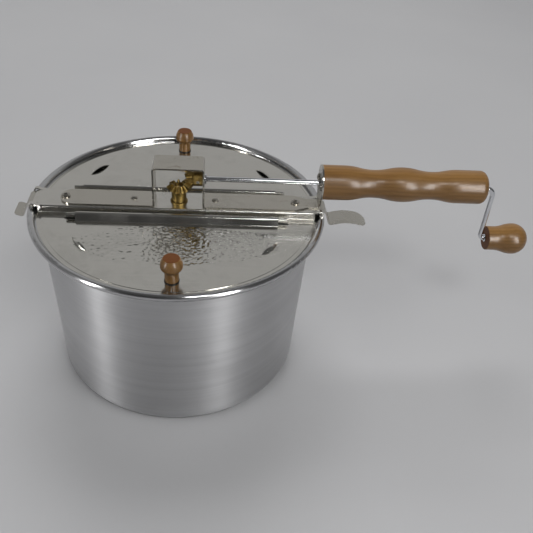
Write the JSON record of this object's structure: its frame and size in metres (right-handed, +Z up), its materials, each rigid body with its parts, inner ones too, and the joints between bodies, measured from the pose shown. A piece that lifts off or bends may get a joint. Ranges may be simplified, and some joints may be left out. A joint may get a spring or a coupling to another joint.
{
  "type": "stovetop popcorn popper",
  "caption": "Aluminium pot with a lift-off crossbar, hinged half lids, wooden grips and a hand crank that turns a floor-sweeping stirring wire through mitre gears.",
  "frame": {"origin": "centre of the pot's base, on the hob's surface", "axes": "+X along the handle towards the crank knob, +Y towards the back lid, +Z up"},
  "size_m": [0.4687, 0.26, 0.2052],
  "materials": {
    "pot_aluminium": "spun and brushed aluminium",
    "frame_steel": "bright stamped steel",
    "clip_steel": "bright spring steel",
    "lid_steel": "polished steel sheet",
    "gear_brass": "cast brass, slightly dull",
    "fastener_steel": "plated steel",
    "washer_dark": "darkened steel washer",
    "varnished_wood": "turned hardwood under clear varnish",
    "rod_chrome": "bright plated wire"
  },
  "bodies": {
    "pot": {"pot": "pot_aluminium"},
    "lid_frame": {"crossbar": "frame_steel", "gear_bracket": "frame_steel", "shaft_bushing": "gear_brass", "bracket_rivets": "fastener_steel", "clip_screws": "fastener_steel", "clip_nuts": "fastener_steel", "left_clip_leaf": "clip_steel", "right_clip_leaf": "clip_steel", "handle": "varnished_wood", "handle_screws": "fastener_steel"},
    "left_clip": {"left_clip_tongue": "clip_steel"},
    "right_clip": {"right_clip_tongue": "clip_steel"},
    "front_lid": {"front_lid": "lid_steel", "front_lid_knob": "varnished_wood", "front_knob_washer": "washer_dark", "front_knob_screw": "fastener_steel"},
    "back_lid": {"back_lid": "lid_steel", "back_lid_knob": "varnished_wood", "back_knob_washer": "washer_dark", "back_knob_screw": "fastener_steel"},
    "crank": {"crank_rod": "rod_chrome", "drive_gear": "gear_brass", "drive_gear_screw": "fastener_steel", "rod_collar": "fastener_steel", "knob_push_nut": "fastener_steel"},
    "crank_knob": {"crank_knob": "varnished_wood"},
    "stirrer": {"stirrer_shaft": "rod_chrome", "driven_gear": "gear_brass", "driven_gear_screw": "fastener_steel", "shaft_ring": "fastener_steel", "stirring_wire": "rod_chrome"}
  },
  "joints": [
    {"name": "frame_lift", "type": "slide", "parent": "pot", "child": "lid_frame", "axis": [0, 0, 1], "range_m": [0, 0.17]},
    {"name": "front_lid_hinge", "type": "hinge", "parent": "lid_frame", "child": "front_lid", "pos_m": [0, -0.0224, 0.1632], "axis": [-1, 0, 0], "range_deg": [0, 85]},
    {"name": "back_lid_hinge", "type": "hinge", "parent": "lid_frame", "child": "back_lid", "pos_m": [0, 0.0224, 0.1632], "axis": [1, 0, 0], "range_deg": [0, 85]},
    {"name": "crank_turn", "type": "hinge", "parent": "lid_frame", "child": "crank", "pos_m": [0, 0, 0.1892], "axis": [1, 0, 0], "continuous": true},
    {"name": "stirrer_turn", "type": "hinge", "parent": "lid_frame", "child": "stirrer", "pos_m": [0, 0, 0.1892], "axis": [0, 0, 1], "continuous": true},
    {"name": "crank_knob_spin", "type": "hinge", "parent": "crank", "child": "crank_knob", "pos_m": [0.3066, 0, 0.1351], "axis": [1, 0, 0], "continuous": true},
    {"name": "left_clip_flex", "type": "hinge", "parent": "lid_frame", "child": "left_clip", "pos_m": [-0.1275, 0, 0.1651], "axis": [0, 1, 0], "range_deg": [0, 10], "stiffness_Nm_per_rad": 3},
    {"name": "right_clip_flex", "type": "hinge", "parent": "lid_frame", "child": "right_clip", "pos_m": [0.1275, 0, 0.1651], "axis": [0, -1, 0], "range_deg": [0, 10], "stiffness_Nm_per_rad": 3}
  ],
  "couplings": [
    {"joint": "stirrer_turn", "follows": "crank_turn", "ratio": 1}
  ]
}
